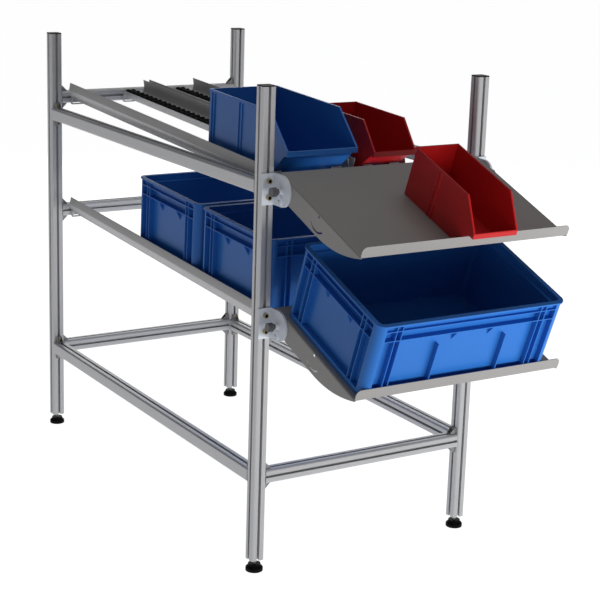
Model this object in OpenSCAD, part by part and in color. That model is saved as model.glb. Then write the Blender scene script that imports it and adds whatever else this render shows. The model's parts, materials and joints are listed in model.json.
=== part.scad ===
// Picking rack: a slotted-aluminium frame with two levels of sloping roller lanes that feed
// bins and containers to the front, where two tilting trays hold the ones being picked from.
// Millimetres. X runs across the rack, -Y is the picking side, Z is up and the floor is Z = 0.

/* [Frame] */
// Height of the post caps above the floor
post_top = 1380; // [1320:5:1700]
// Distance between the front and rear post centres
frame_d = 1420; // [1300:10:1800]
// Side of the square extrusion
profile = 40; // [38:1:44]
// Radius of the extrusion's corners
profile_r = 6; // [2:0.5:8]
// Opening of the slot in each face of the extrusion
slot_w = 8; // [7:0.5:10]
// Thickness of the lips on each side of a slot
slot_lip = 4.5; // [3:0.5:6]
// Width of the slot behind its lips
slot_inside = 14; // [11:0.5:16]
// Depth of the slot from the face
slot_depth = 11; // [9:0.5:12]
// Thickness of the plastic cap on a post
cap_t = 3; // [2:0.5:6]
// Underside of the four base rails above the floor
base_rail_z = 264; // [120:2:400]
// Underside of the upper side rails above the floor
upper_rail_z = 1089; // [1000:1:1180]

/* [Feet] */
// Gap between the floor and the lower end of a post
foot_gap = 35; // [30:1:60]
// Diameter of the plastic foot pad
pad_d = 50; // [36:1:70]
// Height of the foot pad
pad_h = 22; // [18:1:26]
// Height of the straight rim of the foot pad
pad_rim = 10; // [3:0.5:10]
// Height at which the foot pad's cone meets its neck
pad_shoulder = 17; // [11:0.5:17.5]
// Diameter of the foot pad's neck
pad_neck = 36; // [18:1:36]
// Thickness of the pad under the stem
pad_floor = 8; // [5:0.5:12]
// Diameter of the levelling stem
stem_d = 10; // [8:0.5:11]
// Length of the stem inside the post
stem_in = 40; // [25:1:80]
// Spare depth of the post's bore above the stem
stem_spare = 16; // [13:1:40]
// Radial clearance of stems and pivot studs in their bores
pivot_play = 0.08; // [0.02:0.01:0.1]

/* [Corner brackets] */
// Leg of a small angle bracket
angle_leg = 20; // [16:1:30]
// Width of an angle bracket
angle_w = 18; // [15:1:24]
// Thickness of an angle bracket's legs
angle_t = 3; // [2:0.5:4]
// Thickness of the angle bracket's two side webs
angle_web = 2; // [1:0.5:2.5]
// Head diameter of the angle bracket screws
small_head_d = 9; // [7:0.5:10]
// Head height of the angle bracket screws
small_head_h = 4; // [3:0.5:5]
// Shank diameter of the angle bracket screws
small_shank_d = 5; // [4:0.5:6]
// Key width of the socket in the angle bracket screws
small_key = 4; // [3:0.5:5]

/* [Roller lanes] */
// Downward slope of the lanes towards the picking side, degrees
lane_slope = 2.75; // [1.5:0.25:4]
// Underside of the upper tracks where they meet the rear cross rail
upper_lane_z = 1159; // [1140:1:1180]
// Underside of the lower tracks where they meet the rear cross rail
lower_lane_z = 769; // [680:1:780]
// Height of a cross rail's top above the underside of the tracks it carries
rail_rise = 25; // [18:1:27]
// Width of a track channel
channel_w = 36; // [32:1:44]
// Height of a track channel's walls
channel_h = 20; // [16:1:23]
// Sheet thickness of a track channel
channel_t = 2; // [1:0.5:3]
// Diameter of a skate wheel
wheel_d = 26; // [20:1:32]
// Width of a skate wheel
wheel_w = 28; // [20:1:29]
// Width of each tread of a skate wheel
tread_w = 10; // [6:1:12]
// Depth of the groove between the two treads
groove_depth = 2; // [1:0.5:4]
// Height of the wheels' tops above the underside of the channel
wheel_top = 28; // [27:0.5:34]
// Distance between wheels along the lane
wheel_pitch = 34; // [34:1:60]
// Distance from the rear rail to the first wheel
first_wheel = 25; // [20:1:60]
// Diameter of a wheel's axle
axle_d = 6; // [4:0.5:8]
// Distance from the front rail to the stop line of the upper lanes
stop_back = 55; // [40:1:120]
// Distance from the front rail to the stop line of the lower lane
lower_stop_back = 35; // [30:1:120]
// Height of the stop tabs above the wheels' tops
stop_rise = 14; // [8:1:20]
// Distance from a track channel out to its guide
guide_out = 20; // [12:1:30]
// Height of the guide's top edge above the underside of the channel
guide_top = 61; // [45:1:80]
// Height of the fold along a guide's wall above the underside of the channel
guide_fold = 37; // [30:1:42]
// Distance of the fold outside the guide's upper and lower edges
guide_bulge = 4; // [1:0.5:4]
// Sheet thickness of a guide
guide_t = 2; // [1:0.5:3]
// Distance from each cross rail to the guide's end
guide_end = 40; // [20:1:80]
// Gap between a post and the guide beside it, from face to face
guide_side = 12; // [8:1:30]
// Gap between the two upper lanes, from guide face to guide face
lane_gap = 25; // [15:1:40]
// Free space on each side of the bin in the wide upper lane
wide_play = 22; // [6:1:30]
// Free space on each side of the bin in the narrow upper lane
narrow_play = 13; // [6:1:30]
// Free space on each side of a container in the lower lane
lower_play = 21; // [6:1:40]
// Drop of the hook strap below its channel
hook_drop = 18; // [10:1:26]
// Height of the hook's legs beside the channel
hook_leg = 14; // [8:1:15]
// Length of a hook along the lane
hook_l = 14; // [8:1:24]
// Sheet thickness of a hook
hook_t = 2; // [1:0.5:3]
// Gap between wheels and what rolls on them, and between pieces that rest side by side
seat_gap = 0.3; // [0.2:0.05:0.5]

/* [Tilting trays] */
// Height of the upper tray's pivot above the floor
upper_pivot_z = 1105.5; // [1085:0.5:1130]
// Height of the lower tray's pivot above the floor
lower_pivot_z = 735; // [700:0.5:760]
// Distance of the pivots in front of the post faces
pivot_out = 45; // [44:1:60]
// Forward tilt of the trays, degrees
tray_tilt = 20; // [8:0.5:24]
// Sheet thickness of a tray
tray_t = 2; // [1.5:0.5:3]
// Gap between a tray's side and the inner face of the post line
tray_side = 2; // [1:0.5:6]
// Height of the tray's surface above its pivot
plate_up = 38; // [38:1:60]
// Distance from the pivot to the tray's rear edge
plate_back = 34; // [10:1:38]
// Spare length of a tray beyond the container it holds
plate_spare = 22; // [4:1:30]
// Height of the front lip above the tray's surface
lip_h = 29; // [10:1:32]
// Radius of the front lip's upper corners
lip_r = 14; // [4:1:15]
// Outer radius of the bends between the tray's surface and its cheeks
bend_r = 5; // [4:0.5:8]
// Depth of the side cheeks below the pivot
cheek_down = 23; // [18:1:34]
// Length of the straight lower edge of a cheek in front of the pivot
cheek_flat = 190; // [140:5:240]
// Depth of a cheek below the tray's surface at the lip
cheek_front = 5; // [5:1:20]
// Radius of the cheek's rear lower corner
cheek_r = 24; // [10:1:30]
// Distance of the spare pivot hole in front of the pivot
spare_forward = 180; // [150:5:220]
// Height of the spare pivot hole above the pivot
spare_up = 29; // [24:1:32]
// Radius of the curved slot about the spare pivot hole
slot_r = 42; // [36:1:44]
// Width of the curved slot
arc_w = 4.5; // [3:0.5:6]
// Half of the curved slot's angle
arc_half = 46; // [25:1:60]

/* [Tilt brackets] */
// Radius of the bracket's round disc
disc_r = 43; // [38:0.5:44]
// Thickness of the disc
disc_t = 6; // [4:0.5:8]
// Thickness of the flange on the post
flange_t = 5; // [4:0.5:8]
// Distance between the two flange screws
flange_pitch = 45; // [36:1:56]
// Head diameter of the flange screws
screw_head_d = 15; // [11:0.5:15]
// Head height of the flange screws
screw_head_h = 8; // [5:0.5:9]
// Shank diameter of the flange screws
screw_shank_d = 6.5; // [5:0.5:6.5]
// Depth of the shank behind the flange
screw_reach = 8; // [6:0.5:8.5]
// Key width of the socket in the flange screws
socket_key = 9; // [4:0.5:9]
// Depth of the socket in the flange screws
socket_depth = 6; // [3:0.5:7]
// Diameter of the raised ring on the disc
ring_d = 28; // [12:1:28]
// Diameter of the recess inside the raised ring
ring_hole = 8; // [5:0.5:11]
// Height of the raised ring
ring_h = 5; // [1:0.5:6]
// Distance of the raised ring from the pivot
ring_off = 25; // [24:0.5:27]
// Angle from straight below the pivot to the raised ring, towards the post
ring_turn = 10; // [-45:5:45]
// Diameter of the boss around the pivot
boss_d = 18; // [14:1:22]
// Height of the boss around the pivot
boss_h = 10; // [2:1:12]
// Diameter of a clamp knob
knob_d = 25; // [20:1:32]
// Length of a clamp knob's grip
knob_l = 16; // [10:1:20]
// Length of a clamp knob's hub
hub_l = 6; // [4:1:10]
// Diameter of a clamp knob's hub
hub_d = 16; // [14:1:18]
// Number of grip flutes around a clamp knob
flutes = 16; // [8:1:20]
// Diameter of a grip flute
flute_d = 3; // [2:0.5:4]
// Diameter of a clamp knob's stud
stud_d = 8; // [6:0.5:10]
// Length of the stud inside the tray's cheek
stud_in = 8; // [4:1:14]

/* [Wide bin] */
// Length of the wide bin from its rear wall to its lip
wide_bin_l = 445; // [400:5:520]
// Length of the wide bin's floor
wide_bin_floor = 350; // [300:5:370]
// Length of the wide bin's level rim
wide_bin_rim = 345; // [300:5:370]
// Width of the wide bin
wide_bin_w = 226; // [190:2:240]
// Height of the wide bin
wide_bin_h = 176; // [140:2:200]
// Height of the wide bin's front lip
wide_bin_lip = 82; // [60:2:100]

/* [Narrow bins] */
// Length of a narrow bin from its rear wall to its lip
narrow_bin_l = 314; // [290:2:340]
// Length of a narrow bin's floor
narrow_bin_floor = 226; // [200:2:240]
// Length of a narrow bin's level rim
narrow_bin_rim = 248; // [220:2:270]
// Width of a narrow bin
narrow_bin_w = 141; // [110:1:150]
// Height of a narrow bin
narrow_bin_h = 142; // [110:2:150]
// Height of a narrow bin's front lip
narrow_bin_lip = 62; // [46:2:80]
// Sideways place of the narrow bin that stands on the upper tray
tray_bin_x = 38; // [-120:1:120]

/* [Bin walls] */
// Wall thickness of a bin
bin_wall = 2.5; // [2:0.25:4]
// Height of the bead along a bin's rim
bead_h = 7; // [4:0.5:10]
// Depth of the bead along a bin's rim
bead_out = 3; // [2:0.5:5]
// Height of the upright band along a bin's front lip
lip_band = 14; // [8:1:20]
// Width of the upright ribs on a bin's sides
rib_w = 3; // [2:0.5:5]
// Distance between the two ribs of a pair
rib_pair = 16; // [8:1:20]

/* [Containers] */
// Width of a container's rim across the rack
container_w = 600; // [580:5:640]
// Depth of a container's rim
container_d = 400; // [380:5:420]
// Height of a container
container_h = 220; // [195:5:230]
// Overhang of the rim past the container's walls
rim_out = 19; // [17:0.5:22]
// Thickness of the rim
rim_t = 5; // [3:0.5:10]
// Width of the rim's level top
rim_top = 14; // [8:1:17]
// Outer radius of the corners of the rim, the ledges and the columns under them
column_r = 27; // [20:1:32]
// Wall thickness of a container
wall = 3; // [2:0.25:4]
// Outer corner radius of a container's walls
wall_r = 16; // [8:1:20]
// Height of the lower stiffening ledge above the container's base
ledge_z = 168; // [140:2:180]
// Distance of the upper stiffening ledge below the container's top
upper_ledge_drop = 23; // [20:1:34]
// Overhang of the base ring, the ledges, the ribs and the columns past the walls
ledge_out = 16; // [8:0.5:16]
// Thickness of ledges, ribs and gussets
rib_t = 3; // [2:0.25:4]
// Height of the base ring on which the ribs stand
rib_from = 15; // [10:1:60]
// Distance of the corner ribs from the ends of the rim
corner_rib = 79; // [60:1:90]
// Distance between the two ribs of a corner pair
corner_pair = 17; // [10:1:20]
// Height of the short ribs' tops above the base
short_rib_top = 138; // [100:2:138]
// Distance between the two short ribs of a long side
short_rib_gap = 216; // [160:2:240]
// Distance between the two gussets under the ledge
gusset_gap = 116; // [60:2:140]
// Sideways shift of the short ribs and gussets of a long side
middle_shift = 16; // [-30:1:30]
// Length of the gussets under the ledge
gusset_h = 30; // [8:1:40]
// Sideways place of the container on the lower tray
tray_container_x = -18; // [-24:1:24]
// Gap between the lower lane's left guide and the containers in the lane
lane_container_side = 3; // [1:0.5:6]
// Gap between the two containers in the lower lane
lane_container_gap = 20; // [1:0.5:60]

/* [Hidden] */
$fn = 48;
arc_steps = 10;
// Clear space between posts and between rails
lower_w = container_w + 2 * lower_play;
clear_w = lower_w + 2 * guide_side;
frame_w = clear_w + profile;
clear_d = frame_d - profile;
post_x = frame_w / 2;
post_y = frame_d / 2;
face_y = -post_y - profile / 2;
post_len = post_top - cap_t - foot_gap;
stem_bore = stem_d + 2 * pivot_play;
// Lanes
lane_l = clear_d / cos(lane_slope);
lane_fall = clear_d * tan(lane_slope);
wide_w = wide_bin_w + 2 * wide_play;
narrow_w = narrow_bin_w + 2 * narrow_play;
wide_x = -clear_w / 2 + guide_side + wide_w / 2;
narrow_x = wide_x + wide_w / 2 + lane_gap + narrow_w / 2;
ride_z = wheel_top + seat_gap;
stop_y = -lane_l + stop_back;
lower_stop_y = -lane_l + lower_stop_back;
lane_container_x = lane_container_side - lower_play;
wheel_z = wheel_top - wheel_d / 2;
wheel_run = -stop_y - wheel_d / 2 - channel_t - first_wheel;
wheel_count = floor(wheel_run / wheel_pitch) + 1;
trim_w = 2 * frame_w;
// Trays, in a frame with its origin on the pivot and the tray level
pivot_y = face_y - pivot_out;
tray_w = clear_w - 2 * tray_side;
container_base_w = container_w - 2 * rim_out;
container_base_d = container_d - 2 * rim_out;
ledge_w = container_base_w + 2 * ledge_out;
ledge_d = container_base_d + 2 * ledge_out;
upper_ledge_z = container_h - upper_ledge_drop;
mouth_w = container_w - 2 * rim_top;
mouth_d = container_d - 2 * rim_top;
mouth_r = column_r - rim_top;
lip_in = plate_back - plate_spare - container_d;
lip_y = lip_in - tray_t;
plate_low = plate_up - tray_t;
cheek_low = plate_up - cheek_front;
disc_x = tray_w / 2 + seat_gap;
stud_bore = stud_d + 2 * pivot_play;
wide_lean = (wide_bin_l - wide_bin_floor) / wide_bin_lip;
narrow_lean = (narrow_bin_l - narrow_bin_floor) / narrow_bin_lip;
tray_bin_y = lip_in + narrow_lean * lip_h + 2 * seat_gap;
tray_container_y = lip_in + ledge_out + seat_gap;
// The origin lies on the floor, in the middle of the whole rack's length
reach_front = pivot_y + (tray_container_y - rim_out) * cos(tray_tilt)
  - (plate_up + seat_gap + container_h) * sin(tray_tilt);
reach_rear = post_y + max(profile, pad_d) / 2;
origin_y = -(reach_front + reach_rear) / 2;

// Everything is drawn about the middle of the four posts and then moved to the origin
module placed() {
  translate([0, origin_y, 0]) children();
}

module rounded_rect(w, d, r) {
  square([w - 2 * r, d], center = true);
  square([w, d - 2 * r], center = true);
  for (x = [-1, 1], y = [-1, 1]) translate([x * (w / 2 - r), y * (d / 2 - r)]) circle(r = r);
}

// Section of the slotted extrusion, with a slot in each of the faces at the given turns
module profile_section(turns = [0, 90, 180, 270]) {
  difference() {
    rounded_rect(profile, profile, profile_r);
    for (turn = turns) rotate(turn) slot_section();
  }
}

module slot_section() {
  translate([-slot_w / 2, profile / 2 - slot_depth]) square([slot_w, slot_depth + 1]);
  translate([-slot_inside / 2, profile / 2 - slot_depth]) square([slot_inside, slot_depth - slot_lip]);
}

// An upright with a bore at its lower end for the levelling stem
module post(x, y) {
  color("silver") placed() translate([x * post_x, y * post_y, foot_gap]) difference() {
    linear_extrude(post_len) profile_section();
    translate([0, 0, -1]) cylinder(d = stem_bore, h = stem_in + stem_spare + 1);
  }
}

// A rail from the front post to the rear post, with its underside at height z and its outer face closed
module side_rail(x, z) {
  color("silver") placed() translate([x * post_x, clear_d / 2, z + profile / 2])
    rotate([90, 0, 0]) linear_extrude(clear_d) profile_section([0, 180, x < 0 ? 270 : 90]);
}

// A rail from the left post to the right post, with its underside at height z
module cross_rail(y, z) {
  color("silver") placed() translate([-clear_w / 2, y * post_y, z + profile / 2])
    rotate([90, 0, 90]) linear_extrude(clear_w) profile_section();
}

// Underside of the cross rail that carries the rear (y = 1) or front (y = -1) end of a lane
function lane_rail_z(lane_z, y) = lane_z + rail_rise - profile - (y > 0 ? 0 : lane_fall);

module post_end_caps() {
  color("dimgray") placed() for (x = [-1, 1], y = [-1, 1])
    translate([x * post_x, y * post_y, post_top - cap_t]) linear_extrude(cap_t)
      rounded_rect(profile, profile, profile_r);
}

// Levelling feet
module foot_stem(x, y) {
  color("darkgray") placed() translate([x * post_x, y * post_y, pad_floor])
    cylinder(d = stem_d, h = foot_gap - pad_floor + stem_in);
}

module foot_pad(x, y) {
  color([0.08, 0.08, 0.08]) placed() translate([x * post_x, y * post_y, 0]) rotate_extrude()
    polygon([[0, 0], [pad_d / 2, 0], [pad_d / 2, pad_rim], [pad_neck / 2, pad_shoulder],
      [pad_neck / 2, pad_h], [stem_bore / 2, pad_h], [stem_bore / 2, pad_floor], [0, pad_floor]]);
}

// Angle brackets sit in the corners above (up = 1) and below (up = -1) each end of a rail.
// In a corner's own frame the post face is x = 0, the rail face is z = 0 and the width runs along y.
module at_side_corners(z) {
  for (x = [-1, 1], y = [-1, 1], up = [-1, 1])
    translate([x * post_x, y * clear_d / 2, z + profile / 2 + up * profile / 2])
      rotate(y > 0 ? -90 : 90) mirror([0, 0, up > 0 ? 0 : 1]) children();
}

module at_cross_corners(y, z) {
  for (x = [-1, 1], up = [-1, 1])
    translate([x * clear_w / 2, y * post_y, z + profile / 2 + up * profile / 2])
      rotate(x > 0 ? 180 : 0) mirror([0, 0, up > 0 ? 0 : 1]) children();
}

module at_all_corners() {
  for (z = [base_rail_z, upper_rail_z]) at_side_corners(z) children();
  for (y = [-1, 1]) {
    at_cross_corners(y, base_rail_z) children();
    for (z = [upper_lane_z, lower_lane_z]) at_cross_corners(y, lane_rail_z(z, y)) children();
  }
}

// Puts its children on both legs of an angle bracket, with z away from the leg
module on_both_legs() {
  along = (angle_leg + angle_t) / 2;
  translate([along, 0, angle_t]) children();
  translate([angle_t, 0, along]) rotate([0, 90, 0]) children();
}

module angle_bracket() {
  difference() {
    union() {
      translate([0, -angle_w / 2, 0]) cube([angle_leg, angle_w, angle_t]);
      translate([0, -angle_w / 2, 0]) cube([angle_t, angle_w, angle_leg]);
      for (y = [-angle_w / 2 + angle_web, angle_w / 2]) translate([0, y, 0]) rotate([90, 0, 0])
        linear_extrude(angle_web) polygon([[0, 0], [angle_leg, 0], [angle_leg, angle_t],
          [angle_t, angle_leg], [0, angle_leg]]);
    }
    on_both_legs() translate([0, 0, -angle_t - 1])
      cylinder(d = small_shank_d + 2 * seat_gap, h = angle_t + 2);
  }
}

module corner_brackets() {
  color("gray") placed() at_all_corners() angle_bracket();
}

// Socket screws on the angle brackets and on the flanges of the tilt brackets
module small_screw() {
  difference() {
    cylinder(d = small_head_d, h = small_head_h);
    translate([0, 0, small_head_h / 2]) cylinder(d = small_key / cos(30), h = small_head_h, $fn = 6);
  }
  translate([0, 0, -angle_t - slot_lip]) cylinder(d = small_shank_d, h = angle_t + slot_lip + 1);
}

module flange_screw() {
  difference() {
    cylinder(d = screw_head_d, h = screw_head_h);
    translate([0, 0, screw_head_h - socket_depth])
      cylinder(d = socket_key / cos(30), h = screw_head_h, $fn = 6);
  }
  translate([0, 0, -flange_t - screw_reach]) cylinder(d = screw_shank_d, h = flange_t + screw_reach + 1);
}

// Places of the flange screws of one tilt bracket, with z pointing out of the post's front face
module at_flange_screws(side, pivot_z) {
  for (up = [-1, 1]) translate([side * post_x, face_y - flange_t, pivot_z + up * flange_pitch / 2])
    rotate([90, 0, 0]) children();
}

module frame_screws() {
  color("goldenrod") placed() {
    at_all_corners() on_both_legs() small_screw();
    for (side = [-1, 1], z = [upper_pivot_z, lower_pivot_z]) at_flange_screws(side, z) flange_screw();
  }
}

// A lane's own frame starts at the rear rail's inner face, at the underside of its tracks,
// and its -Y runs down the slope. What is drawn in it is cut off square at both cross rails.
module on_lane(lane_z) {
  translate([0, clear_d / 2, lane_z]) rotate([lane_slope, 0, 0]) children();
}

module between_rails(lane_z) {
  intersection() {
    on_lane(lane_z) children();
    translate([-trim_w / 2, -clear_d / 2, 0]) cube([trim_w, clear_d, post_top]);
  }
}

// A track's own frame: x = 0 on the channel's outer face and x towards the lane's middle.
// The side is -1 for the lane's left track and 1 for its right track.
module on_track(lane_x, lane_w, side) {
  translate([lane_x + side * (lane_w / 2 - guide_out), 0, 0]) mirror([side > 0 ? 1 : 0, 0, 0]) children();
}

// Sheet channel with a stop tab bent up near its front end. The tab stands the distance tab_out
// in front of the lane's stop line, clear of whatever leans or juts over that line.
module track(lane_x, lane_w, lane_z, side, stop, tab_out) {
  inside = channel_w - 2 * channel_t;
  color("lightgray") placed() between_rails(lane_z) on_track(lane_x, lane_w, side) {
    translate([0, channel_w, 0]) rotate([90, 0, 0]) linear_extrude(lane_l + 2 * channel_w)
      polygon([[0, 0], [channel_w, 0], [channel_w, channel_h], [channel_w - channel_t, channel_h],
        [channel_w - channel_t, channel_t], [channel_t, channel_t], [channel_t, channel_h],
        [0, channel_h]]);
    translate([channel_t, stop - tab_out - channel_t - 2 * seat_gap, channel_t / 2])
      cube([inside, channel_t, wheel_top + stop_rise - channel_t / 2]);
  }
}

module wide_track(side) {
  track(wide_x, wide_w, upper_lane_z, side, stop_y, wide_lean * stop_rise);
}

module narrow_track(side) {
  track(narrow_x, narrow_w, upper_lane_z, side, stop_y, narrow_lean * stop_rise);
}

module lower_track(side) {
  track(0, lower_w, lower_lane_z, side, lower_stop_y, ledge_out);
}

// A row of double-tread wheels, each moulded on an axle that is held between the channel's walls
module wheel_row(lane_x, lane_w, lane_z, side) {
  color([0.06, 0.06, 0.06]) placed() on_lane(lane_z) on_track(lane_x, lane_w, side)
    for (i = [0 : wheel_count - 1]) translate([channel_w / 2, -first_wheel - i * wheel_pitch, wheel_z])
      rotate([0, 90, 0]) wheel();
}

module wheel() {
  cylinder(d = axle_d, h = channel_w - 2 * channel_t, center = true);
  cylinder(d = wheel_d - 2 * groove_depth, h = wheel_w, center = true);
  for (end = [-1, 1]) translate([0, 0, end * (wheel_w - tread_w) / 2])
    cylinder(d = wheel_d, h = tread_w, center = true);
}

// Angle guide whose foot lies on the channel's outer wall and whose wall is folded outwards
module guide(lane_x, lane_w, lane_z, side) {
  color("darkgray") placed() on_lane(lane_z) on_track(lane_x, lane_w, side)
    translate([0, -guide_end, 0]) rotate([90, 0, 0]) linear_extrude(lane_l - 2 * guide_end)
      polygon([[channel_t, channel_h], [channel_t, channel_h + guide_t], [-guide_out, channel_h + guide_t],
        [-guide_out - guide_bulge, guide_fold], [-guide_out, guide_top], [-guide_out - guide_t, guide_top],
        [-guide_out - guide_bulge - guide_t, guide_fold], [-guide_out - guide_t, channel_h]]);
}

// Strap hooks under both ends of every track
module track_hooks() {
  color("gainsboro") placed() {
    for (side = [-1, 1]) {
      hook_pair(wide_x, wide_w, upper_lane_z, side);
      hook_pair(narrow_x, narrow_w, upper_lane_z, side);
      hook_pair(0, lower_w, lower_lane_z, side);
    }
  }
}

module hook_pair(lane_x, lane_w, lane_z, side) {
  wide = channel_w + 2 * hook_t;
  between_rails(lane_z) on_track(lane_x, lane_w, side)
    for (y = [hook_l, hook_l - lane_l]) translate([-hook_t, y, 0]) rotate([90, 0, 0])
      linear_extrude(2 * hook_l) difference() {
        translate([0, -hook_drop]) square([wide, hook_drop + hook_leg]);
        translate([hook_t, hook_t - hook_drop]) square([channel_w, hook_drop + hook_leg]);
      }
}

// Tilt bracket: a flange on the post's front face and a round disc beside the tray's cheek
module tilt_bracket(side, pivot_z) {
  flange_w = post_x + profile / 2 - disc_x;
  color("white") placed() difference() {
    translate([0, 0, pivot_z]) mirror([side < 0 ? 1 : 0, 0, 0]) {
      translate([disc_x, face_y - flange_t, -disc_r]) cube([flange_w, flange_t, 2 * disc_r]);
      translate([disc_x, pivot_y, -disc_r]) cube([disc_t, pivot_out, 2 * disc_r]);
      translate([disc_x, pivot_y, 0]) rotate([0, 90, 0]) cylinder(r = disc_r, h = disc_t);
      translate([disc_x, pivot_y, 0]) rotate([0, 90, 0]) cylinder(d = boss_d, h = disc_t + boss_h);
      translate([disc_x, pivot_y + ring_off * sin(ring_turn), -ring_off * cos(ring_turn)]) rotate([0, 90, 0])
        difference() {
          cylinder(d = ring_d, h = disc_t + ring_h);
          translate([0, 0, disc_t]) cylinder(d = ring_hole, h = 2 * ring_h);
        }
    }
    translate([-trim_w / 2, pivot_y, pivot_z]) rotate([0, 90, 0]) cylinder(d = stud_bore, h = trim_w);
    at_flange_screws(side, pivot_z) translate([0, 0, -2 * flange_t])
      cylinder(d = screw_shank_d + 2 * seat_gap, h = 3 * flange_t);
  }
}

// Clamp knob with the stud that the tray turns on
module knob(side, pivot_z) {
  bearing = disc_t + boss_h + 2 * seat_gap + tray_t + stud_in;
  color("dimgray") placed() translate([0, pivot_y, pivot_z]) mirror([side < 0 ? 1 : 0, 0, 0])
    translate([disc_x + disc_t + boss_h + seat_gap, 0, 0]) rotate([0, 90, 0]) {
      cylinder(d = hub_d, h = hub_l + 1);
      translate([0, 0, hub_l]) difference() {
        cylinder(d = knob_d, h = knob_l);
        for (i = [1 : flutes]) rotate(i * 360 / flutes) translate([knob_d / 2, 0, -1])
          cylinder(d = flute_d, h = knob_l + 2, $fn = 24);
      }
      translate([0, 0, -bearing]) cylinder(d = stud_d, h = bearing + 1);
    }
}

// A tray's own frame has its origin on the pivot, with the tray level
module on_tray(pivot_z) {
  translate([0, pivot_y, pivot_z]) rotate([tray_tilt, 0, 0]) children();
}

// Quadratic curve from a to c that leaves a and reaches c along the lines to b
function curve(a, b, c) = [for (i = [0 : arc_steps]) let(t = i / arc_steps)
  (1 - t) * (1 - t) * a + 2 * t * (1 - t) * b + t * t * c];

function arc(centre, r, from, to) = [for (i = [0 : arc_steps]) let(a = from + (to - from) * i / arc_steps)
  centre + r * [cos(a), sin(a)]];

cheek_outline = concat(
  [[lip_y, plate_up], [plate_back, plate_up]],
  arc([plate_back - cheek_r, cheek_r - cheek_down], cheek_r, 0, -90),
  curve([-cheek_flat, -cheek_down], [-(cheek_flat - lip_y) / 2, -cheek_down], [lip_y, cheek_low])
);

// Holes in a cheek, seen from the side: the pivot, the spare pivot and the curved slot
module cheek_holes() {
  spare = [-spare_forward, spare_up];
  circle(d = stud_bore);
  translate(spare) circle(d = stud_bore);
  polygon(concat(arc(spare, slot_r + arc_w / 2, -90 - arc_half, arc_half - 90),
    arc(spare, slot_r - arc_w / 2, arc_half - 90, -90 - arc_half)));
}

// Area within the half-width w and below the height h, with its two upper corners rounded
module bent_area(w, h, r) {
  deep = 2 * (h + cheek_down);
  translate([-w, h - deep]) square([2 * w, deep - r]);
  translate([r - w, h - 2 * r]) square([2 * (w - r), 2 * r]);
  for (x = [-1, 1]) translate([x * (w - r), h - r]) circle(r = r);
}

// Bent-sheet tray: level plate, upright front lip and a cheek down each side
module tray(pivot_z) {
  color("gray") placed() on_tray(pivot_z) {
    difference() {
      intersection() {
        translate([0, plate_back + 1, 0]) rotate([90, 0, 0]) linear_extrude(plate_back - lip_y + 2)
          difference() {
            bent_area(tray_w / 2, plate_up, bend_r);
            bent_area(tray_w / 2 - tray_t, plate_low, bend_r - tray_t);
          }
        across(tray_w + 2) polygon(cheek_outline);
      }
      across(tray_w + 2) cheek_holes();
    }
    translate([0, lip_in, plate_low]) rotate([90, 0, 0]) linear_extrude(tray_t) {
      translate([bend_r - tray_w / 2, 0]) square([tray_w - 2 * bend_r, tray_t]);
      translate([-tray_w / 2, tray_t]) square([tray_w, lip_h - lip_r]);
      translate([lip_r - tray_w / 2, tray_t]) square([tray_w - 2 * lip_r, lip_h]);
      for (x = [-1, 1]) translate([x * (tray_w / 2 - lip_r), lip_h + tray_t - lip_r]) circle(r = lip_r);
    }
  }
}

// Side view of an open-fronted bin: y = 0 is the front edge of the floor
function bin_side(l, floor_l, rim_l, h, lip) =
  [[floor_l, 0], [0, 0], [floor_l - l, lip], [floor_l - rim_l, h], [floor_l, h]];

// Inside of a bin: the floor, the rear wall and the leaning front wall, open upwards
function bin_inside(l, floor_l, h, lip, t) =
  let(lean = (l - floor_l) / lip, slant = sqrt(1 + lean * lean) * t, top = h + 1)
  [[floor_l - t, t], [slant - t * lean, t], [slant - top * lean, top], [floor_l - t, top]];

// Band of the bead's height along the rim, from the rear wall to the front lip
function bin_bead(l, floor_l, rim_l, h, lip, b) =
  let(front = floor_l - l, bend = floor_l - rim_l, run = bend - front, rise = h - lip,
    mitre = (sqrt(run * run + rise * rise) - run) / rise, low = h - b - (run + b * mitre) * rise / run)
  [[floor_l, h - b], [bend + b * mitre, h - b], [front, low], [front, lip], [bend, h], [floor_l, h]];

// Moulded bin with an open, leaning front, a beaded rim and a pair of ribs at each of the rib places
module bin(l, floor_l, rim_l, w, h, lip, rib_places) {
  body_w = w - 2 * bead_out;
  front = floor_l - l;
  band_in = lip_band * (l - floor_l) / lip;
  difference() {
    union() {
      across(body_w) polygon(bin_side(l, floor_l, rim_l, h, lip));
      across(w) polygon(bin_bead(l, floor_l, rim_l, h, lip, bead_h));
      across(w) polygon([[front, lip], [front, lip - lip_band], [front + band_in, lip - lip_band]]);
      translate([-w / 2, floor_l - 1, h - bead_h]) cube([w, bead_out + 1, bead_h]);
      for (x = [-1, 1], y = rib_places, step = [0, rib_pair])
        translate([x * (body_w + bead_out) / 2, y + step, h / 2]) cube([bead_out, rib_w, h], center = true);
    }
    across(body_w - 2 * bin_wall) polygon(bin_inside(l, floor_l, h, lip, bin_wall));
  }
}

// Extrudes a side view across the width w, centred on x = 0
module across(w) {
  translate([-w / 2, 0, 0]) rotate([90, 0, 90]) linear_extrude(w) children();
}

module on_wheels(lane_x, lane_z, stop) {
  on_lane(lane_z) translate([lane_x, stop, ride_z]) children();
}

module wide_bin() {
  color([0.2, 0.4, 0.75]) placed() on_wheels(wide_x, upper_lane_z, stop_y)
    bin(wide_bin_l, wide_bin_floor, wide_bin_rim, wide_bin_w, wide_bin_h, wide_bin_lip,
      [wide_bin_floor / 2 - rib_pair, wide_bin_floor - 2 * rib_pair]);
}

module small_bin() {
  color([0.65, 0.1, 0.1])
    bin(narrow_bin_l, narrow_bin_floor, narrow_bin_rim, narrow_bin_w, narrow_bin_h, narrow_bin_lip,
      [narrow_bin_floor / 2 - rib_pair]);
}

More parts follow.
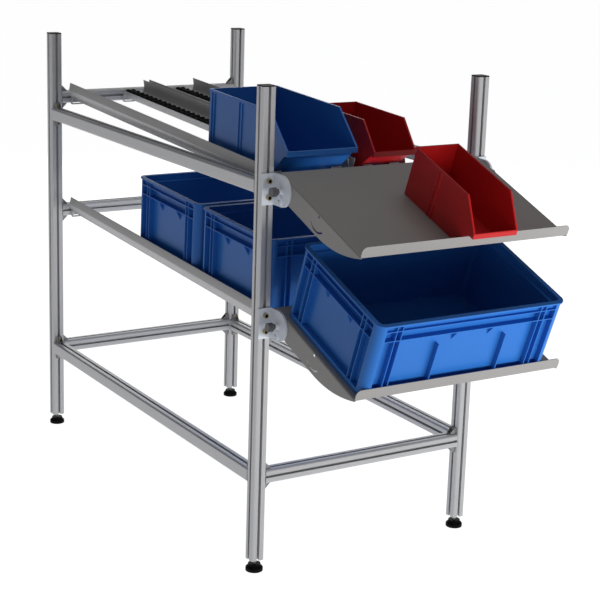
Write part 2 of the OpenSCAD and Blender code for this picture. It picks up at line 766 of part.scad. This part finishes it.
module narrow_bin() {
  placed() on_wheels(narrow_x, upper_lane_z, stop_y) small_bin();
}

module tray_bin() {
  placed() on_tray(upper_pivot_z) translate([tray_bin_x, tray_bin_y, plate_up + seat_gap]) small_bin();
}

// Stacking container: y = 0 is the outer face of the front wall, z = 0 the underside.
// Its mouth widens at the upper ledge into a step that takes the base of the next container.
module container() {
  color([0.2, 0.42, 0.8]) translate([0, container_base_d / 2, 0]) difference() {
    union() {
      linear_extrude(container_h) rounded_rect(container_base_w, container_base_d, wall_r);
      translate([0, 0, container_h - rim_t]) linear_extrude(rim_t)
        rounded_rect(container_w, container_d, column_r);
      base_ring();
      corner_columns();
      for (z = [ledge_z, upper_ledge_z]) translate([0, 0, z]) linear_extrude(rib_t)
        rounded_rect(ledge_w, ledge_d, column_r);
      translate([0, 0, upper_ledge_z]) linear_extrude(upper_ledge_drop)
        rounded_rect(mouth_w + 2 * wall, mouth_d + 2 * wall, mouth_r + wall);
      corner_ribs(container_base_w, container_base_d, middle_shift);
      rotate(90) corner_ribs(container_base_d, container_base_w, 0);
      short_ribs();
    }
    translate([0, 0, wall]) linear_extrude(container_h)
      rounded_rect(container_base_w - 2 * wall, container_base_d - 2 * wall, wall_r - wall);
    translate([0, 0, upper_ledge_z + rib_t]) linear_extrude(container_h) rounded_rect(mouth_w, mouth_d, mouth_r);
  }
}

// Ring around the base, hollow from below: a ledge with a wall around its outer edge
module base_ring() {
  linear_extrude(rib_from) difference() {
    rounded_rect(ledge_w, ledge_d, column_r);
    rounded_rect(ledge_w - 2 * rib_t, ledge_d - 2 * rib_t, column_r - rib_t);
  }
  translate([0, 0, rib_from - rib_t]) linear_extrude(rib_t) rounded_rect(ledge_w, ledge_d, column_r);
}

// Quarter-round columns in the corners, from the base ring up to the rim
module corner_columns() {
  translate([0, 0, rib_from - 1]) linear_extrude(container_h - rib_from + 1) difference() {
    rounded_rect(ledge_w, ledge_d, column_r);
    square([ledge_w - 2 * column_r, 2 * container_d], center = true);
    square([2 * container_w, ledge_d - 2 * column_r], center = true);
  }
}

// Ribs on the two faces that are w wide and d apart: a pair near each corner up to the rim,
// and two small gussets under the ledge
module corner_ribs(w, d, shift) {
  corner = w / 2 + rim_out - corner_rib;
  for (face = [0, 180]) rotate(face) translate([0, -d / 2, 0]) {
    for (x = [-1, 1], step = [0, corner_pair])
      translate([x * (corner + step) - rib_t / 2, -ledge_out, rib_from - 1])
        cube([rib_t, ledge_out + 1, container_h - rim_t - rib_from + 2]);
    for (x = [-gusset_gap / 2, gusset_gap / 2]) translate([x + shift + rib_t / 2, 0, ledge_z])
      rotate([90, 0, -90]) linear_extrude(rib_t)
        polygon([[-1, 1], [ledge_out, 0], [0, -gusset_h], [-1, -gusset_h]]);
  }
}

// Two short upright ribs low on each long side
module short_ribs() {
  for (face = [0, 180]) rotate(face) for (x = [-short_rib_gap / 2, short_rib_gap / 2])
    translate([x + middle_shift - rib_t / 2, -container_base_d / 2 - ledge_out, rib_from - 1])
      cube([rib_t, ledge_out + 1, short_rib_top - rib_from + 1]);
}

module lane_container(row) {
  placed() on_wheels(lane_container_x, lower_lane_z, lower_stop_y)
    translate([0, row * (container_d + lane_container_gap), 0]) container();
}

module tray_container() {
  placed() on_tray(lower_pivot_z)
    translate([tray_container_x, tray_container_y, plate_up + seat_gap]) container();
}

post(-1, -1);  // post_front_left
post(1, -1);  // post_front_right
post(-1, 1);  // post_rear_left
post(1, 1);  // post_rear_right
side_rail(-1, base_rail_z);  // base_rail_left
side_rail(1, base_rail_z);  // base_rail_right
cross_rail(-1, base_rail_z);  // base_rail_front
cross_rail(1, base_rail_z);  // base_rail_rear
side_rail(-1, upper_rail_z);  // upper_rail_left
side_rail(1, upper_rail_z);  // upper_rail_right
cross_rail(-1, lane_rail_z(upper_lane_z, -1));  // upper_cross_rail_front
cross_rail(1, lane_rail_z(upper_lane_z, 1));  // upper_cross_rail_rear
cross_rail(-1, lane_rail_z(lower_lane_z, -1));  // lower_cross_rail_front
cross_rail(1, lane_rail_z(lower_lane_z, 1));  // lower_cross_rail_rear
post_end_caps();
corner_brackets();
frame_screws();
foot_stem(-1, -1);  // foot_stem_front_left
foot_stem(1, -1);  // foot_stem_front_right
foot_stem(-1, 1);  // foot_stem_rear_left
foot_stem(1, 1);  // foot_stem_rear_right
foot_pad(-1, -1);  // foot_pad_front_left
foot_pad(1, -1);  // foot_pad_front_right
foot_pad(-1, 1);  // foot_pad_rear_left
foot_pad(1, 1);  // foot_pad_rear_right
wide_track(-1);  // wide_track_left
wide_track(1);  // wide_track_right
narrow_track(-1);  // narrow_track_left
narrow_track(1);  // narrow_track_right
lower_track(-1);  // lower_track_left
lower_track(1);  // lower_track_right
wheel_row(wide_x, wide_w, upper_lane_z, -1);  // wide_wheels_left
wheel_row(wide_x, wide_w, upper_lane_z, 1);  // wide_wheels_right
wheel_row(narrow_x, narrow_w, upper_lane_z, -1);  // narrow_wheels_left
wheel_row(narrow_x, narrow_w, upper_lane_z, 1);  // narrow_wheels_right
wheel_row(0, lower_w, lower_lane_z, -1);  // lower_wheels_left
wheel_row(0, lower_w, lower_lane_z, 1);  // lower_wheels_right
guide(wide_x, wide_w, upper_lane_z, -1);  // wide_guide_left
guide(wide_x, wide_w, upper_lane_z, 1);  // wide_guide_right
guide(narrow_x, narrow_w, upper_lane_z, -1);  // narrow_guide_left
guide(narrow_x, narrow_w, upper_lane_z, 1);  // narrow_guide_right
guide(0, lower_w, lower_lane_z, -1);  // lower_guide_left
guide(0, lower_w, lower_lane_z, 1);  // lower_guide_right
track_hooks();
tilt_bracket(-1, upper_pivot_z);  // upper_bracket_left
tilt_bracket(1, upper_pivot_z);  // upper_bracket_right
tilt_bracket(-1, lower_pivot_z);  // lower_bracket_left
tilt_bracket(1, lower_pivot_z);  // lower_bracket_right
tray(upper_pivot_z);  // upper_tray
tray(lower_pivot_z);  // lower_tray
knob(-1, upper_pivot_z);  // upper_knob_left
knob(1, upper_pivot_z);  // upper_knob_right
knob(-1, lower_pivot_z);  // lower_knob_left
knob(1, lower_pivot_z);  // lower_knob_right
wide_bin();
narrow_bin();
tray_bin();
lane_container(0);  // lane_container_front
lane_container(1);  // lane_container_rear
tray_container();
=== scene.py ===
import json
import math

import bmesh
import bpy
from mathutils import Matrix, Vector

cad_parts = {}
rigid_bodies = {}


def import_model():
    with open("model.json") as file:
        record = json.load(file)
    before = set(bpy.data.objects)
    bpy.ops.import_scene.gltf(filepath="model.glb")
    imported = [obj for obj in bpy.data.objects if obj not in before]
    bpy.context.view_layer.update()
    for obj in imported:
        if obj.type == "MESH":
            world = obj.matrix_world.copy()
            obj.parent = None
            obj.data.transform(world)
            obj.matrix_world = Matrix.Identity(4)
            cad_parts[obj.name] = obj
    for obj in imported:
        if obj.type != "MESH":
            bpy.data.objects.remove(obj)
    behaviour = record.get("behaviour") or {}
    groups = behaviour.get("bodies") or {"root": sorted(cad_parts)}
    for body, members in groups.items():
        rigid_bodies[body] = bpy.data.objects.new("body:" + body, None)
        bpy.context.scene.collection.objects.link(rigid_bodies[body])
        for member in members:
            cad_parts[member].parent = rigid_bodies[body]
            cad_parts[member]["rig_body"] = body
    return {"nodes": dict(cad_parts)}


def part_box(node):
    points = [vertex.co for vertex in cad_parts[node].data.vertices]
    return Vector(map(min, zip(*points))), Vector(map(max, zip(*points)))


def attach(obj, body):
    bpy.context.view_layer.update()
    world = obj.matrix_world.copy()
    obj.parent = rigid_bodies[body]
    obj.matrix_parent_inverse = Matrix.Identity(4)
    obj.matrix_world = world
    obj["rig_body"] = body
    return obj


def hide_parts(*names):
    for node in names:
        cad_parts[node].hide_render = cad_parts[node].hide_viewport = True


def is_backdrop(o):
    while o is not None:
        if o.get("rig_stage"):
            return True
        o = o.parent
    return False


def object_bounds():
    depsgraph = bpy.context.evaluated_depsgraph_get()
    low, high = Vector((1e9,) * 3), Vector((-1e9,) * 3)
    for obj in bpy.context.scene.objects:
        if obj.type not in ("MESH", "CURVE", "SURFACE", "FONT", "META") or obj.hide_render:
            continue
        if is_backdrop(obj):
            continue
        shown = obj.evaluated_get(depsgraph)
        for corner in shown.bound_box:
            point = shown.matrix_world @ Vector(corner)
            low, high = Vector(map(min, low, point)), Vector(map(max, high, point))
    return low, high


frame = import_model()
cad_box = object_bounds()
nodes = frame["nodes"]


# Posts and rails: 40 mm slotted profile of clear-anodised aluminium, extruded and sawn to length.
# The rails butt against the posts, and the side rails' outer faces are closed. The die leaves fine
# lines along each length.
class Value:
    """One output socket of a finish. Sums and products of it add Math nodes beside it."""

    def __init__(self, finish, socket):
        self.finish = finish
        self.socket = socket

    def math(self, operation, first, second):
        return self.finish.node("ShaderNodeMath", {"operation": operation}, {0: first, 1: second})

    def __add__(self, other):
        return self.math("ADD", self, other)

    def __radd__(self, other):
        return self.math("ADD", other, self)

    def __mul__(self, other):
        return self.math("MULTIPLY", self, other)


class Finish:
    """The node tree of a material or a world, and the one method that adds nodes to it."""

    def __init__(self, owner):
        self.owner = owner
        owner.use_nodes = True
        self.tree = owner.node_tree

    def fill(self, made, sockets):
        for name, value in sockets.items():
            if isinstance(value, Value):
                self.tree.links.new(value.socket, made.inputs[name])
            else:
                made.inputs[name].default_value = value

    def node(self, kind, settings=None, sockets=None, output=0):
        made = self.tree.nodes.new(kind)
        for name, value in (settings or {}).items():
            setattr(made, name, value)
        self.fill(made, sockets or {})
        return Value(self, made.outputs[output])

    def spot(self, scale, detail, stretch=(1, 1, 1)):
        """Noise with that many spots to the metre, stretched along the rack's axes."""
        place = self.node("ShaderNodeTexCoord", output="Object")
        placed = self.node("ShaderNodeMapping", {}, {"Vector": place, "Scale": stretch})
        return self.node("ShaderNodeTexNoise", {}, {"Vector": placed, "Scale": scale, "Detail": detail})

    def blend(self, share, low, high):
        """A colour between two tones."""
        return self.node("ShaderNodeMix", {"data_type": "RGBA"}, {0: share, 6: (*low, 1), 7: (*high, 1)}, 2)

    def ramp(self, share, low, high):
        """A value spread out from 0 at low to 1 at high."""
        return self.node("ShaderNodeMapRange", {}, {0: share, 1: low, 2: high})

    def relief(self, height, depth, strength):
        """A normal that follows a height."""
        return self.node("ShaderNodeBump", {}, {"Height": height, "Distance": depth, "Strength": strength})

    def surface(self, **sockets):
        """The finished material. base_color sets Base Color, and so on."""
        names = {name: name.replace("_", " ").title().replace("Ior", "IOR") for name in sockets}
        shader = self.tree.nodes["Principled BSDF"]
        self.fill(shader, {names[name]: value for name, value in sockets.items()})
        return self.owner


def coat(name):
    """The finish of a new material."""
    return Finish(bpy.data.materials.new(name))


def dress(names, material):
    """Gives CAD nodes that are shown as they are a material."""
    for name in names:
        for slot in nodes[name].material_slots:
            slot.material = material


LINE_STRETCH = 0.006


def anodised(name, along):
    """Clear-anodised aluminium with die lines along one axis of the rack."""
    finish = coat(name)
    stretch = [1, 1, 1]
    stretch["XYZ".index(along)] = LINE_STRETCH
    lines = finish.spot(scale=700, detail=3, stretch=stretch)
    cloud = finish.spot(scale=7, detail=2)
    tone = finish.blend(lines * 0.7 + cloud * 0.3, (0.64, 0.645, 0.655), (0.75, 0.75, 0.755))
    return finish.surface(
        base_color=tone, metallic=0.6, roughness=0.38 + lines * 0.1 + cloud * 0.06,
        normal=finish.relief(lines, depth=0.00012, strength=0.5))


dress([name for name in nodes if name.startswith("post_") and name != "post_end_caps"],
      anodised("anodised_upright", "Z"))
dress(["base_rail_left", "base_rail_right", "upper_rail_left", "upper_rail_right"],
      anodised("anodised_side_rail", "Y"))
dress([name for name in nodes if "rail_front" in name or "rail_rear" in name],
      anodised("anodised_cross_rail", "X"))


# End caps: thin black plastic covers pressed into the upper ends of the posts.
# They are moulded, so their edges are slightly rounded.
WELD = 1e-5
FLAT = math.radians(0.6)
SHARP = math.radians(32)
CREASE = math.radians(50)


def softened(name, radius, material, segments=2):
    """Stands for a CAD node with a copy of it whose sharp edges are rounded."""
    piece = bpy.data.objects.new(name + "_piece", nodes[name].data.copy())
    bpy.context.scene.collection.objects.link(piece)
    form = bmesh.new()
    form.from_mesh(piece.data)
    bmesh.ops.remove_doubles(form, verts=form.verts, dist=WELD)
    bmesh.ops.dissolve_limit(form, angle_limit=FLAT, verts=form.verts, edges=form.edges)
    edges = [edge for edge in form.edges if len(edge.link_faces) == 2 and edge.calc_face_angle() > SHARP]
    bmesh.ops.bevel(form, geom=edges, offset=radius, offset_type="OFFSET", segments=segments,
                    profile=0.5, affect="EDGES", clamp_overlap=True, harden_normals=False)
    bmesh.ops.recalc_face_normals(form, faces=form.faces)
    form.to_mesh(piece.data)
    form.free()
    piece.data.shade_smooth()
    piece.data.set_sharp_from_angle(angle=CREASE)
    piece.data.materials.clear()
    piece.data.materials.append(material)
    even = piece.modifiers.new("even", "WEIGHTED_NORMAL")
    even.keep_sharp = True
    made = piece.evaluated_get(bpy.context.evaluated_depsgraph_get())
    rough = piece.data
    piece.data = bpy.data.meshes.new_from_object(made)
    piece.modifiers.clear()
    bpy.data.meshes.remove(rough)
    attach(piece, nodes[name]["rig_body"])
    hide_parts(name)
    return piece


def moulded(name, tone, worn, roughness, gloss=0.42):
    """Injection-moulded plastic: fine grain, faint clouds and a few lighter scuffs."""
    finish = coat(name)
    fine = finish.spot(scale=900, detail=2)
    cloud = finish.spot(scale=11, detail=3)
    scuff = finish.ramp(finish.spot(scale=60, detail=4, stretch=(1, 0.2, 1)), low=0.62, high=0.78)
    shade = finish.blend(cloud * 0.45 + scuff * 0.35, tone, worn)
    return finish.surface(
        base_color=shade, roughness=roughness + cloud * 0.1 + scuff * 0.1,
        specular_ior_level=gloss, normal=finish.relief(fine, depth=0.00015, strength=0.35))


black_plastic_and_socket_shade = moulded("black_plastic_and_socket_shade", tone=(0.002, 0.002, 0.002), worn=(0.01, 0.01, 0.01),
                        roughness=0.45, gloss=0.12)
softened("post_end_caps", radius=0.0008, material=black_plastic_and_socket_shade)


# Angle brackets and screws: small die-cast corners above and below each rail end, and
# socket screws of yellow-passivated steel that hold them and the tilt brackets. Inside the sockets the zinc
# is painted black, as painted shade of the recesses.
def cast(name, low, high, metallic):
    """Die-cast metal with a blasted skin."""
    finish = coat(name)
    skin = finish.spot(scale=650, detail=4)
    cloud = finish.spot(scale=25, detail=2)
    return finish.surface(
        base_color=finish.blend(skin * 0.6 + cloud * 0.4, low, high), metallic=metallic,
        roughness=0.36 + skin * 0.2, normal=finish.relief(skin, depth=0.0002, strength=0.4))


corner_skin = cast("cast_corner", low=(0.3, 0.3, 0.31), high=(0.46, 0.46, 0.47), metallic=0.5)
softened("corner_brackets", radius=0.0005, material=corner_skin, segments=1)


def passivated():
    """Yellow zinc, whose tint shifts between straw and olive."""
    finish = coat("yellow_zinc")
    tint = finish.spot(scale=160, detail=3)
    return finish.surface(
        base_color=finish.blend(tint, (0.42, 0.36, 0.2), (0.66, 0.57, 0.36)), metallic=0.75,
        roughness=0.26 + tint * 0.16, normal=finish.relief(tint, depth=0.0001, strength=0.2))


def islands(mesh):
    """The lowest and highest corners of each separate solid of a mesh."""
    form = bmesh.new()
    form.from_mesh(mesh)
    bmesh.ops.remove_doubles(form, verts=form.verts, dist=WELD)
    left = set(form.verts)
    found = []
    while left:
        group = [left.pop()]
        for vert in group:
            for edge in vert.link_edges:
                other = edge.other_vert(vert)
                if other in left:
                    left.discard(other)
                    group.append(other)
        spread = [[vert.co[axis] for vert in group] for axis in range(3)]
        found.append((Vector([min(s) for s in spread]), Vector([max(s) for s in spread])))
    form.free()
    return sorted(found, key=lambda box: tuple(box[0]))


# The socket's share of a screw's head, and the room given to a face beside its own screw
SOCKET_SHARE = 0.72
SLACK = 1e-4
screws = softened("frame_screws", radius=0.0004, material=passivated(), segments=1)
# The faces deep in each socket get the black plastic instead of zinc: painted shade where the recess is dark.
screws.data.materials.append(black_plastic_and_socket_shade)
boxes = islands(nodes["frame_screws"].data)
for face in screws.data.polygons:
    low, high = next(box for box in boxes if all(
        least - SLACK < place < most + SLACK for least, place, most in zip(box[0], face.center, box[1])))
    centre = (low + high) / 2
    size = high - low
    along = max(range(3), key=lambda axis: size[axis])
    around = [axis for axis in range(3) if axis != along]
    reach = max(math.hypot(*(screws.data.vertices[i].co[axis] - centre[axis] for axis in around))
                for i in face.vertices)
    face.material_index = 1 if reach < SOCKET_SHARE * size[around[0]] / 2 else 0


# Levelling feet: a threaded steel stem in the post's end, and a black plastic pad on the floor.
# The thread shows between the pad and the post.
def steel(name, low, high, scale):
    """Bright steel with a faint mottle."""
    finish = coat(name)
    mottle = finish.spot(scale, detail=3)
    return finish.surface(
        base_color=finish.blend(mottle, low, high), metallic=0.7,
        roughness=0.28 + mottle * 0.2, normal=finish.relief(mottle, depth=0.0001, strength=0.25))


def tube(rings):
    """A closed mesh through rings of points, each ring with as many points."""
    form = bmesh.new()
    rows = [[form.verts.new(point) for point in ring] for ring in rings]
    count = len(rows[0])
    for lower, upper in zip(rows, rows[1:]):
        for i in range(count):
            j = (i + 1) % count
            form.faces.new((lower[i], lower[j], upper[j], upper[i]))
    form.faces.new(rows[0])
    form.faces.new(rows[-1])
    bmesh.ops.recalc_face_normals(form, faces=form.faces)
    return form


THREAD_PITCH = 0.0015
THREAD_DEPTH = 0.0008
THREAD_SIDES = 20
STEPS_A_TURN = 5
bright_steel = steel("bright_steel", low=(0.42, 0.42, 0.42), high=(0.6, 0.6, 0.6), scale=240)
for corner in ("front_left", "front_right", "rear_left", "rear_right"):
    low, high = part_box("foot_stem_" + corner)
    middle = (low + high) / 2
    radius = (high.x - low.x) / 2
    steps = round((high.z - low.z) / THREAD_PITCH * STEPS_A_TURN)
    rings = []
    for step in range(steps + 1):
        height = low.z + (high.z - low.z) * step / steps
        ring = []
        for side in range(THREAD_SIDES):
            turn = side / THREAD_SIDES
            phase = (height / THREAD_PITCH - turn) % 1
            reach = radius - THREAD_DEPTH * abs(2 * phase - 1)
            ring.append((middle.x + reach * math.cos(math.tau * turn),
                         middle.y + reach * math.sin(math.tau * turn), height))
        rings.append(ring)
    stem = bpy.data.objects.new("foot_thread_" + corner, bpy.data.meshes.new("foot_thread_" + corner))
    bpy.context.scene.collection.objects.link(stem)
    tube(rings).to_mesh(stem.data)
    stem.data.shade_smooth()
    stem.data.materials.append(bright_steel)
    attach(stem, "foot_" + corner)
    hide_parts("foot_stem_" + corner)
    softened("foot_pad_" + corner, radius=0.0012, material=black_plastic_and_socket_shade, segments=3)


# Roller tracks: channels folded from galvanised sheet, hung between the cross rails with strap hooks.
# Their zinc skin has a faint crystal pattern.
def galvanised(name, low, high):
    """Zinc with a crystal pattern."""
    finish = coat(name)
    place = finish.node("ShaderNodeTexCoord", output="Object")
    crystal = finish.node("ShaderNodeTexVoronoi", {}, {"Vector": place, "Scale": 110}, "Color")
    shade = finish.node("ShaderNodeSeparateColor", {}, {0: crystal})
    cloud = finish.spot(scale=18, detail=3)
    return finish.surface(
        base_color=finish.blend(shade * 0.5 + cloud * 0.5, low, high), metallic=0.6,
        roughness=0.32 + shade * 0.16, normal=finish.relief(cloud, depth=0.0002, strength=0.3))


zinc_sheet = galvanised("zinc_sheet", low=(0.64, 0.64, 0.645), high=(0.78, 0.78, 0.785))
dress([name for name in nodes if "_track_" in name] + ["track_hooks"], zinc_sheet)


# Skate wheels: black plastic wheels with two treads, each on a steel pin between the channel's walls.
# They stand in a close row along each track.
WHEEL_SIDES = 24
WHEEL_CREASE = math.radians(40)
# Half of a wheel's outline from the pin's end to the middle: share of the width, share of the radius
WHEEL_OUTLINE = [
    (1.0, 0.004), (1.0, 0.2), (0.9, 0.23), (0.875, 0.23), (0.875, 0.62), (0.84, 0.66), (0.84, 0.84),
    (0.875, 0.88), (0.87, 0.955), (0.83, 0.99), (0.78, 1.0), (0.4, 1.0), (0.3, 0.975), (0.25, 0.9),
    (0.235, 0.85), (0.1, 0.85)]
# Points of that outline that lie on the pin
PIN_POINTS = 4
outline = WHEEL_OUTLINE + [(-across, out) for across, out in reversed(WHEEL_OUTLINE)]
for name in [name for name in nodes if "_wheels_" in name]:
    points = []
    faces = []
    pins = []
    for low, high in islands(nodes[name].data):
        centre = (low + high) / 2
        half = (high.x - low.x) / 2
        radius = (high.z - low.z) / 2
        first = len(points)
        for across, out in outline:
            for side in range(WHEEL_SIDES):
                turn = math.tau * side / WHEEL_SIDES
                points.append((centre.x + half * across, centre.y + radius * out * math.cos(turn),
                               centre.z + radius * out * math.sin(turn)))
        for ring in range(len(outline) - 1):
            for side in range(WHEEL_SIDES):
                near = first + ring * WHEEL_SIDES
                step = (side + 1) % WHEEL_SIDES
                faces.append((near + side, near + step, near + WHEEL_SIDES + step, near + WHEEL_SIDES + side))
                pins.append(min(ring, len(outline) - 2 - ring) < PIN_POINTS - 1)
        last = first + (len(outline) - 1) * WHEEL_SIDES
        faces.append(tuple(range(first, first + WHEEL_SIDES))[::-1])
        faces.append(tuple(range(last, last + WHEEL_SIDES)))
        pins += [True, True]
    wheels = bpy.data.objects.new(name + "_piece", bpy.data.meshes.new(name + "_piece"))
    bpy.context.scene.collection.objects.link(wheels)
    wheels.data.from_pydata(points, [], faces)
    wheels.data.materials.append(black_plastic_and_socket_shade)
    wheels.data.materials.append(bright_steel)
    for face, pin in zip(wheels.data.polygons, pins):
        face.material_index = 1 if pin else 0
    form = bmesh.new()
    form.from_mesh(wheels.data)
    bmesh.ops.recalc_face_normals(form, faces=form.faces)
    form.to_mesh(wheels.data)
    form.free()
    wheels.data.shade_smooth()
    wheels.data.set_sharp_from_angle(angle=WHEEL_CREASE)
    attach(wheels, "frame")
    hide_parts(name)


# Side guides: angles of sheet that lie on the outer walls of the channels, folded outwards along their
# walls. They are powder-coated grey above the fold and bare zinc below it on the outside.
def powder(name, low, high):
    """Powder coat with a slight orange-peel skin."""
    finish = coat(name)
    peel = finish.spot(scale=420, detail=2)
    cloud = finish.spot(scale=5, detail=3)
    return finish.surface(
        base_color=finish.blend(cloud * 0.6 + peel * 0.4, low, high), metallic=0.15,
        roughness=0.42 + peel * 0.12, normal=finish.relief(peel, depth=0.00025, strength=0.35))


# Faces whose normal points further down than this lie outside below the fold
BARE_NORMAL = -0.2
guide_coat = powder("guide_coat", low=(0.49, 0.49, 0.485), high=(0.6, 0.6, 0.595))
for name in [name for name in nodes if "_guide_" in name]:
    guide = softened(name, radius=0.0003, material=guide_coat, segments=1)
    guide.data.materials.append(zinc_sheet)
    for face in guide.data.polygons:
        face.material_index = 1 if face.normal.z < BARE_NORMAL else 0


# Tilt brackets and clamp knobs: cast brackets screwed to the front posts, whose round discs carry
# the trays, and fluted plastic knobs whose studs go through them into the trays' cheeks.
bracket_skin = cast("cast_bracket", low=(0.8, 0.85, 0.95), high=(0.9, 0.94, 1.0), metallic=0.02)
knob_plastic = moulded("knob_plastic", tone=(0.15, 0.15, 0.154), worn=(0.28, 0.28, 0.285),
                       roughness=0.42)
for level in ("upper", "lower"):
    for side in ("left", "right"):
        softened(f"{level}_bracket_{side}", radius=0.001, material=bracket_skin, segments=3)
        softened(f"{level}_knob_{side}", radius=0.0005, material=knob_plastic)


# Tilting trays: sheet steel, folded down at the sides and up at the front, powder-coated warm grey.
# The cheeks hang on the studs of the clamp knobs.
tray_coat = powder("tray_coat", low=(0.31, 0.3, 0.29), high=(0.4, 0.39, 0.375))
for level in ("upper", "lower"):
    softened(f"{level}_tray", radius=0.0007, material=tray_coat)


# Open-fronted bins: moulded plastic, one wide blue bin and two narrow red ones.
# Their leaning fronts let a hand in, and a bead stiffens the rim.
blue_bin = moulded("blue_bin_plastic", tone=(0.02, 0.145, 0.5), worn=(0.032, 0.185, 0.6),
                   roughness=0.28, gloss=0.36)
red_bin = moulded("red_bin_plastic", tone=(0.5, 0.008, 0.01), worn=(0.64, 0.03, 0.032),
                  roughness=0.28)
BIN_EDGE = 0.0009
softened("wide_bin", BIN_EDGE, material=blue_bin)
softened("narrow_bin", BIN_EDGE, material=red_bin)
softened("tray_bin", BIN_EDGE, material=red_bin)


# Stacking containers: blue moulded boxes with a flat rim, corner columns, a ledge and upright ribs.
# Two roll on the lower lane and one lies on the lower tray.
container_plastic = moulded("container_plastic", tone=(0.024, 0.162, 0.55), worn=(0.038, 0.202, 0.65),
                            roughness=0.27, gloss=0.25)
for name in ("lane_container_front", "lane_container_rear", "tray_container"):
    softened(name, radius=0.0009, material=container_plastic)


# Studio: a white floor that keeps a soft shadow, white surroundings, a broad lamp low at the front
# right, soft ones overhead and behind on the right, and the camera where the photograph was taken from.
FLOOR_REACH = 40.0
floor = bpy.data.objects.new("floor", bpy.data.meshes.new("floor"))
bpy.context.scene.collection.objects.link(floor)
corners = [(x * FLOOR_REACH, y * FLOOR_REACH, 0) for x, y in ((-1, -1), (1, -1), (1, 1), (-1, 1))]
floor.data.from_pydata(corners, [], [(0, 1, 2, 3)])
floor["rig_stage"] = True
floor_finish = coat("floor_white")
floor_seen = floor_finish.node("ShaderNodeLightPath", output="Is Camera Ray")
floor_mirrored = floor_finish.node("ShaderNodeLightPath", output="Is Glossy Ray")
floor_glow = floor_finish.blend(floor_seen + floor_mirrored * 0.2, (0.45, 0.45, 0.46), (0.93, 0.93, 0.93))
floor_finish.surface(
    base_color=(0.6, 0.6, 0.6, 1), roughness=1.0, specular_ior_level=0.0, emission_strength=1.0,
    emission_color=floor_glow)
floor_finish.owner.cycles.emission_sampling = "NONE"
floor.data.materials.append(floor_finish.owner)

sky = Finish(bpy.data.worlds.new("studio"))
bpy.context.scene.world = sky.owner
sky_seen = sky.node("ShaderNodeLightPath", output="Is Camera Ray")
sky.fill(sky.tree.nodes["Background"], {"Color": sky.blend(sky_seen, (0.1, 0.1, 0.103), (1, 1, 1))})


def lamp(name, place, aim, power, width, height):
    """A soft lamp that the camera doesn't see."""
    light = bpy.data.lights.new(name, "AREA")
    light.shape = "RECTANGLE"
    light.size = width
    light.size_y = height
    light.energy = power
    holder = bpy.data.objects.new(name, light)
    bpy.context.scene.collection.objects.link(holder)
    holder.location = place
    holder.rotation_mode = "QUATERNION"
    holder.rotation_quaternion = (Vector(aim) - Vector(place)).to_track_quat("-Z", "Y")
    holder.visible_camera = False
    return holder


lamp("front_right_lamp", place=(0.9, -2.6, 0.18), aim=(0.75, -2.3, 0.76), power=66,
     width=3.2, height=0.6).visible_glossy = False
lamp("overhead_lamp", place=(0.4, -1.0, 4.0), aim=(0, -0.2, 0), power=20,
     width=3.0, height=3.0)
lamp("rear_right_lamp", place=(2.9, 5.2, 1.9), aim=(-0.2, 0, 0.9), power=62,
     width=5.0, height=3.0)

# Azimuth, elevation and roll, and the place from the middle between the posts at floor level
CAMERA_ANGLES = (-31.779, 14.797, 1.843)
CAMERA_AWAY = (-2.47912, -4.34347, 1.91)
camera = bpy.data.objects.new("camera", bpy.data.cameras.new("camera"))
bpy.context.scene.collection.objects.link(camera)
bpy.context.scene.camera = camera
camera.data.sensor_fit = "HORIZONTAL"
camera.data.sensor_width = 36.0
camera.data.lens = 96.0
camera.data.clip_end = 200
azimuth, elevation, roll = (math.radians(angle) for angle in CAMERA_ANGLES)
back = Vector((math.sin(azimuth) * math.cos(elevation), -math.cos(azimuth) * math.cos(elevation),
               math.sin(elevation)))
right = (-back).cross(Vector((0, 0, 1))).normalized()
up = right.cross(-back)
turned_right = math.cos(roll) * right + math.sin(roll) * up
turned_up = math.cos(roll) * up - math.sin(roll) * right
middle = (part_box("post_front_left")[0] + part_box("post_rear_right")[1]) / 2
place = Vector((middle.x, middle.y, 0)) + Vector(CAMERA_AWAY)
camera.matrix_world = (
    Matrix.Translation(place) @ Matrix((turned_right, turned_up, back)).transposed().to_4x4())

bpy.context.scene.view_settings.view_transform = "Standard"
boxes = {"cad": cad_box, "visual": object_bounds()}
